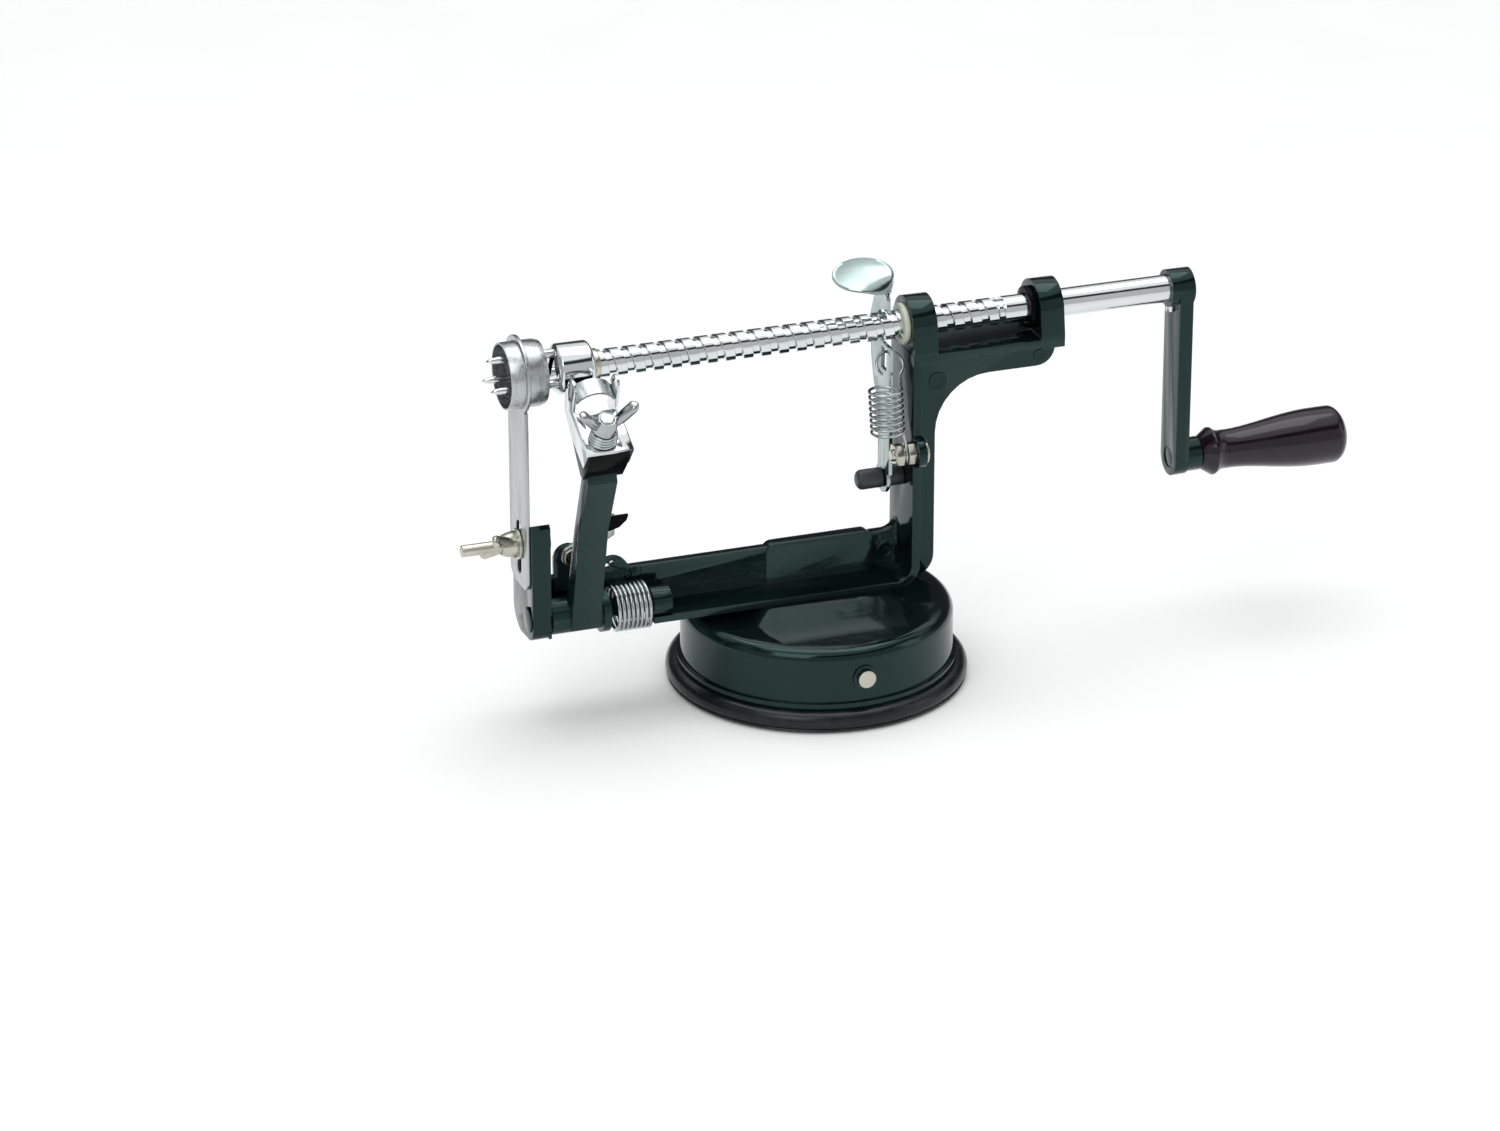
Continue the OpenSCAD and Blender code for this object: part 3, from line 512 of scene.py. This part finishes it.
def lever_spring():
    """Hook round the anchor bolt, eight open coils, and a loop through the lever's slot.
    It is drawn at rest and doesn't stretch when the lever is pressed."""
    wire = 0.5
    hook_x, hook_r = (22.6 + 3.0 + 27.0) / 2, 3         # midway between the anchor's two nuts
    hook = [(hook_x, ANCHOR_Y + hook_r * math.sin(a), ANCHOR_Z + hook_r * math.cos(a))
            for a in (math.radians(d) for d in range(50, 301, 10))]
    bend = [(hook_x - 0.1, ANCHOR_Y - 2.2, ANCHOR_Z + 4.0),
            (hook_x - 0.5, ANCHOR_Y - 1.8, ANCHOR_Z + 6.8)]
    coil = coil_points((20.0, -12.9), False, 5.4, 88.0, 104.6, 8.0, 24, (-1.0, 0.2))
    loop_y, loop_z = -5, 109.6
    loop = [(LEVER_X + 4.6 * math.cos(a), loop_y + 2.85 * math.sin(a), loop_z + 3.59 * math.sin(a))
            for a in (math.radians(d) for d in range(-55, 226, 10))]
    stand_for(tube("tension_spring", hook + bend + coil + loop, wire, SPRING), "lever_spring")


def blade_spring():
    """Short conical spring under the wing nut, closed at both ends."""
    points = []
    steps, turns = 24, 4.5
    wide, narrower, wire = 4.3, 0.5, 0.55
    low, rise = 0.6, 4.02
    total = int(steps * turns)
    for i in range(total + 1):
        t = i / total
        ease = min(1.0, max(0.0, (t - 0.12) / 0.76))
        a = 2 * math.pi * i / steps
        r = wide - narrower * t
        points.append(tuple(at_head(STUD[0] + r * math.cos(a), STUD[1] + r * math.sin(a),
                                    low + rise * ease) / MM))
    stand_for(tube("nut_spring", points, wire, SPRING), "blade_spring")


def wing_nut_mesh(bm, hub_r, span, bore_r, place):
    """Hub with a crowned top and two cast wings that curl outwards; place maps (x, y, z)."""
    wrap = lambda d, a, b: place(a, b, d)
    lathe_mesh(bm, [(0.0, bore_r), (0.0, hub_r), (0.5, hub_r + 0.15), (2.4, hub_r * 0.96),
                    (4.2, hub_r * 0.84), (5.2, hub_r * 0.7), (5.2, bore_r), (0.0, bore_r)], 48, wrap)
    around, steps = 16, 12
    root = bore_r + 0.5                     # the wings start outside the bore
    inset, low, rise = 2.9, 2.6, 6.2        # of the wing's middle line
    tip_x = span / 2 - inset
    for side in (-1, 1):
        rows = []
        for i in range(steps + 1):
            t = i / steps
            centre_x = side * (root + (span / 2 - root - inset) * t)
            centre_z = low + rise * t ** 1.15
            half_h = 1.9 + 0.4 * math.sin(math.pi * min(1.0, t * 1.1))
            half_t = 1.5 + 0.6 * t
            tilt = side * (0.25 + 0.75 * t)
            ring = []
            for k in range(around):
                a = 2 * math.pi * k / around
                across = half_t * squared(math.cos(a), 0.7)
                up = half_h * squared(math.sin(a), 0.8)
                ring.append(bm.verts.new(place(centre_x - up * math.sin(tilt) * 0.55, across,
                                               centre_z + up * math.cos(tilt))))
            rows.append(ring)
        # rounded tip
        base = rows[-1]
        middle = sum((v.co for v in base), Vector()) / len(base)
        tip = place(side * tip_x, 0.0, low + rise)
        for shrink, push in ((0.82, 0.8), (0.5, 1.5), (0.15, 1.85)):
            out = place(side * tip_x + side * 0.8 * push, 0.0, low + rise + 0.55 * push) - tip
            rows.append([bm.verts.new(middle + (v.co - middle) * shrink + out) for v in base])
        skin(bm, rows)
        close_ends(bm, rows)


def wing_nuts():
    """The blade's nut and the corer's nut, each turned as it stands on the object."""
    span = 23.0

    def rotated(x, y, degrees):
        cos, sin = math.cos(math.radians(degrees)), math.sin(math.radians(degrees))
        return x * cos - y * sin, x * sin + y * cos

    def at_stud(x, y, z):
        u, v = rotated(x, y, 5)
        return at_head(STUD[0] + u, STUD[1] + v, BLADE_NUT_SEAT + z)

    def at_bolt(x, y, z):
        # the nut's axis points to -X; its x axis lies along +Z before the turn
        u, v = rotated(x, y, 125)
        return Vector((CORER_NUT_SEAT - z, v, CORER_BOLT_Z + u)) * MM

    bm = bmesh.new()
    wing_nut_mesh(bm, 4.0, span, 2.55, at_stud)
    stand_for(from_bmesh("blade_nut_piece", bm, SHADED_CHROME, 45.0), "blade_wing_nut")
    bm = bmesh.new()
    wing_nut_mesh(bm, 4.4, span, 2.05, at_bolt)
    stand_for(from_bmesh("corer_nut_piece", bm, ZINC, 45.0), "corer_wing_nut")


def handle():
    """Turned handle: chamfered rim, narrow neck, full belly and round end."""
    start, length = HANDLE_START, HANDLE_LENGTH
    profile = [(start, 2.6), (start, 5.0), (start + 0.15, 5.25), (start + 4.15, 8.0),
               (start + 4.35, 8.15), (start + 5.0, 8.15), (start + 5.2, 8.0), (start + 5.6, 7.75),
               (start + 6.2, 7.4)]
    for i in range(4, 27):
        t = i / 26 * 0.9
        grow = math.sin(math.radians(90 * min(1.0, max(0.0, (t - 0.2) / 0.6)))) ** 1.7
        lip = 0.7 * max(0.0, 1 - t / 0.24) ** 2
        profile.append((start + t * length, 6.6 + 3.3 * grow + lip))
    belly = profile[-1][1]
    for i in range(1, 15):
        a = math.radians(90 * i / 14)
        profile.append((start + length * (0.9 + 0.1 * math.sin(a)), belly * math.cos(a)))
    place = along_x(0.0, SHAFT_Z - CRANK_THROW)
    stand_for(turned("turned_handle", profile, 96, place, WOOD, 30.0), "handle")


def at_thumb(u, v, w):
    """A point on the thumb tab: u along it, v up its slope, w out of its dish."""
    tilt_x, tilt_y = math.radians(37.5), math.radians(1.0)
    y = v * math.cos(tilt_x) - w * math.sin(tilt_x)
    z = v * math.sin(tilt_x) + w * math.cos(tilt_x)
    x, z = u * math.cos(tilt_y) + z * math.sin(tilt_y), -u * math.sin(tilt_y) + z * math.cos(tilt_y)
    return Vector((THUMB[0] + x, THUMB[1] + y, THUMB[2] + z)) * MM


def thumb_tab(bm):
    """Spoon-like tab pressed out of the lever's top: a shallow oval dish with a soft rim."""
    rings, around = 10, 72
    half_long, half_wide = 10.5, 6.45
    depth, thick = 0.5, 1.0
    sink = 0.2
    neck_corner, corner_width = 302.0, 26.0     # degrees round the tab
    shape = [(i / rings, depth * (i / rings) ** 2 - sink) for i in range(rings + 1)]
    rim = depth - sink
    shape += [(1.012, rim - 0.12), (1.02, rim - 0.45), (1.01, rim - 0.8)]
    shape += [(i / rings, depth * (i / rings) ** 2 - sink - thick) for i in range(rings, -1, -1)]
    levels = []
    for t, w in shape:
        if t < 1e-6:
            levels.append([bm.verts.new(at_thumb(0, 0, w))])
            continue
        ring = []
        for k in range(around):
            a = 2 * math.pi * k / around
            # the corner next to the lever is drawn out and bent down into the neck
            off = (math.degrees(a) - neck_corner) / corner_width
            drawn = math.exp(-off * off)
            reach = t * (1 + 0.24 * drawn * t * t)
            ring.append(bm.verts.new(at_thumb(half_long * reach * math.cos(a),
                                              half_wide * reach * math.sin(a),
                                              w - 1.6 * drawn * t ** 4)))
        levels.append(ring)
    skin(bm, levels)


def thumb_neck(bm):
    """Narrow strap that twists from the plate's top into the right end of the tab."""
    low = Vector((LEVER_X, -1.6, 131.3)) * MM
    high = at_thumb(6.6, -6.0, -1.7)
    steps, around = 10, 12
    rings = []
    for i in range(steps + 1):
        t = i / steps
        middle = low.lerp(high, t)
        wide, thin = 1.7 + 0.5 * (2 * t - 1) ** 2, 0.6
        turn = math.radians(60) * t * t
        across = Vector((-math.sin(turn), math.cos(turn), 0.0))
        out = Vector((math.cos(turn), math.sin(turn), 0.0))
        ring = []
        for k in range(around):
            a = 2 * math.pi * k / around
            u = wide * squared(math.cos(a), 0.6)
            v = thin * squared(math.sin(a), 0.6)
            ring.append(bm.verts.new(middle + (across * u + out * v) * MM))
        rings.append(ring)
    for a, b in zip(rings, rings[1:]):
        for k in range(around):
            n = (k + 1) % around
            bm.faces.new((a[k], a[n], b[n], b[k]))
    bm.faces.new(list(reversed(rings[0])))
    bm.faces.new(rings[-1])


def lever_blank(bm):
    """Keeps the flat plate of the CAD lever and cuts its thumb tab away."""
    cut_z = 132.55 * MM
    geom = list(bm.verts) + list(bm.edges) + list(bm.faces)
    bmesh.ops.bisect_plane(bm, geom=geom, dist=1e-7, plane_co=(0, 0, cut_z), plane_no=(0, 0, 1),
                           clear_outer=True)
    rim = [e for e in bm.edges if e.is_boundary]
    if rim:
        bmesh.ops.edgeloop_fill(bm, edges=rim)


def release_lever():
    """The lever's plate, with the tab and the neck that are built for their looks."""
    refined("release_lever", LEVER, 0.25, 2, lever_blank)
    for name, build in (("thumb_tab", thumb_tab), ("thumb_neck", thumb_neck)):
        bm = bmesh.new()
        build(bm)
        on_body(from_bmesh(name, bm, LEVER, 60.0), "release_lever")


def fine_details():
    """Ejector marks on the frame's web, the cover's rolled bead and the foot ring's lip."""
    bm = bmesh.new()
    web_front = 3.2
    for x, z, r in ((44.0, 97.8, 3.0), (80.3, 102.2, 1.9), (25.6, 39.2, 2.6)):
        place = lambda d, a, b, x=x, z=z: Vector((x + a, web_front - d, z + b)) * MM
        lathe_mesh(bm, [(-0.2, r + 0.25), (0.12, r + 0.2), (0.2, r), (0.06, r - 0.35),
                        (0.04, r * 0.5), (0.04, 0.0)], 40, place)
    on_body(from_bmesh("ejector_marks", bm, BLACK, 60.0), "frame")

    # the cover's bead is just above the rubber
    bead = oval(12, 8.15, 46.4, 0.95, 0.75)
    on_body(turned("cover_bead", bead, 160, upright, BLACK, 60.0), "frame")
    lip = oval(10, 1.15, 49.9, 0.45, 0.6)
    on_body(turned("foot_lip", lip, 160, upright, RUBBER, 60.0), "frame")


def pin_cap():
    """Domed head of the cam pin with its dark collar."""
    place = lambda d, a, b: Vector((a, -d, CAM_PIN_Z + b)) * MM
    collar = [(45.0, 3.15), (45.0, 4.1), (46.55, 4.1), (46.75, 3.9), (46.75, 3.2), (46.1, 3.15),
              (45.0, 3.15)]
    on_body(turned("pin_collar", collar, 64, place, BLACK, 40.0), "frame")
    head = [(46.0, 0.0), (46.0, 2.95), (47.6, 2.95), (47.85, 2.8), (48.0, 2.4), (48.1, 1.2),
            (48.12, 0.0)]
    on_body(turned("pin_head", head, 64, place, ZINC, 40.0), "suction_lever")


def foot_ring():
    """Round rubber tyre of the foot with a flat inner shelf."""
    inner, tyre_r, tyre_at, top = 43.3, 3.5, 47.3, 7.0
    profile = [(top, inner), (top, 46.4)]
    for i in range(19):
        a = math.radians(105 - 190 * i / 18)
        profile.append((max(0.0, tyre_r + tyre_r * math.sin(a)), tyre_at + tyre_r * math.cos(a)))
    profile += [(0.0, 47.0), (0.0, 43.6), (0.3, inner), (top, inner)]
    stand_for(turned("foot_tyre", profile, 192, upright, RUBBER, 50.0), "foot_ring")


# ---------- the object ----------

# CAD node, material, width of its rounded edges in millimetres, steps of the rounding
REFINED = (
    ("base_cover", BLACK, 0.35, 3), ("suction_lever", BLACK, 0.5, 2),
    ("suction_lever_grip", SHINY, 0.8, 3), ("frame_casting", BLACK, 0.7, 3),
    ("front_bush", NYLON, 0.35, 2), ("rear_bush", SHINY, 0.5, 2),
    ("fork_washer", ZINC, 0.2, 2), ("fork_hub", CHROME, 0.3, 2),
    ("fork_prongs", CHROME, 0.15, 2), ("crank_arm", BLACK, 0.9, 3),
    ("crank_set_screw", CHROME, 0.2, 2), ("handle_axle", BLACK, 0.3, 2),
    ("corer_bolt", ZINC, 0.4, 2), ("corer_washer", ZINC, 0.25, 2),
    ("slicing_strap", BLADE, 0.2, 2), ("coring_ring", BLADE, 0.08, 1),
    ("peeler_pivot_pin", BLACK, 0.5, 2), ("peeler_arm", ARM_PAINT_SHEEN, 0.7, 3),
    ("blade_block", SHINY, 0.7, 3), ("blade_bracket", CHROME, 0.22, 2),
    ("peeling_blade", BLADE, 0.06, 1), ("blade_stud", SHADED_CHROME, 0.4, 2),
    ("latch_plate", BLACK, 0.4, 2), ("latch_rivet", ZINC, 0.5, 2),
    ("latch_lever", BLADE, 0.25, 2), ("latch_tip", SHINY, 0.35, 2),
    ("lever_pivot_stud", DULL, 0.6, 3), ("anchor_bolt", ZINC, 0.5, 2),
    ("anchor_nuts", ZINC, 0.3, 2),
)

# Nodes that are hidden, or almost so, are shown as the CAD has them
HIDDEN = {"suction_diaphragm": RUBBER, "suction_stud": ZINC, "cam_pin": ZINC, "base_screws": ZINC}

for node, mat, width, segments in REFINED:
    refined(node, mat, width, segments)
for node, mat in HIDDEN.items():
    paint_node(node, mat)

screw_thread()
peeler_spring()
lever_spring()
blade_spring()
wing_nuts()
handle()
release_lever()
foot_ring()
fine_details()
pin_cap()


# ---------- camera, light and floor ----------

def camera():
    """Camera at the viewing angle that the object was measured from."""
    azimuth, elevation = math.radians(-19.87), math.radians(23.67)
    forward = Vector((-math.sin(azimuth) * math.cos(elevation),
                      math.cos(azimuth) * math.cos(elevation), -math.sin(elevation)))
    aim, distance = Vector((-0.02371, 0.0, 0.04213)), 1.99689
    data = bpy.data.cameras.new("camera")
    data.lens = 144.0
    data.sensor_width = 36.0
    data.sensor_fit = "HORIZONTAL"
    data.clip_start = 0.05
    ob = bpy.data.objects.new("camera", data)
    ob.location = aim - forward * distance
    ob.rotation_euler = forward.to_track_quat("-Z", "Y").to_euler()
    bpy.context.scene.collection.objects.link(ob)
    bpy.context.scene.camera = ob


def area(name, place, aim, size, power):
    """A rectangular lamp at place that faces aim."""
    data = bpy.data.lights.new(name, "AREA")
    data.shape = "RECTANGLE"
    data.size, data.size_y = size
    data.energy = power
    ob = bpy.data.objects.new(name, data)
    ob.location = place
    ob.rotation_euler = (Vector(aim) - Vector(place)).to_track_quat("-Z", "Y").to_euler()
    bpy.context.scene.collection.objects.link(ob)


def sky():
    """World shader: one ramp by height in front of the object, another one behind it."""
    world = bpy.data.worlds.new("studio")
    world.use_nodes = True
    tree = world.node_tree
    back = tree.nodes["Background"]
    where = tree.nodes.new("ShaderNodeTexCoord")
    split = tree.nodes.new("ShaderNodeSeparateXYZ")
    tree.links.new(where.outputs["Generated"], split.inputs["Vector"])
    behind = tree.nodes.new("ShaderNodeMapRange")
    behind.inputs["From Min"].default_value = -0.12
    behind.inputs["From Max"].default_value = 0.12
    tree.links.new(split.outputs["Y"], behind.inputs["Value"])
    sides = tree.nodes.new("ShaderNodeMix")
    sides.data_type = "RGBA"
    tree.links.new(behind.outputs["Result"], sides.inputs["Factor"])
    for socket, stops in ((MIX_A, FRONT_SKY), (MIX_B, BACK_SKY)):
        ramp = tree.nodes.new("ShaderNodeValToRGB")
        while len(ramp.color_ramp.elements) < len(stops):
            ramp.color_ramp.elements.new(0.5)
        for element, (at, level) in zip(ramp.color_ramp.elements, stops):
            element.position = at
            element.color = (level * 0.98, level, level, 1.0)
        tree.links.new(split.outputs["Z"], ramp.inputs["Fac"])
        tree.links.new(ramp.outputs["Color"], sides.inputs[socket])
    tree.links.new(sides.outputs[MIX_RESULT], back.inputs["Color"])
    back.inputs["Strength"].default_value = 1.0
    bpy.context.scene.world = world


def studio():
    """Pale floor, sky and three soft lamps."""
    bm = bmesh.new()
    half = 7.0
    bm.faces.new([bm.verts.new((x, y, 0.0)) for x, y in
                  ((-half, -half), (half, -half), (half, half), (-half, half))])
    from_bmesh("floor", bm, floor_material("pale_floor"))
    sky()
    bpy.context.scene.view_settings.view_transform = "Standard"
    area("key", (-1.1, -1.2, 1.5), (0, 0, 0.06), (1.1, 1.1), 9.0)
    area("top", (0.1, 0.3, 1.7), (0, 0, 0.05), (1.6, 1.2), 12.0)
    area("side", (1.5, -0.7, 0.7), (0, 0, 0.08), (0.5, 1.1), 1.5)


camera()
studio()
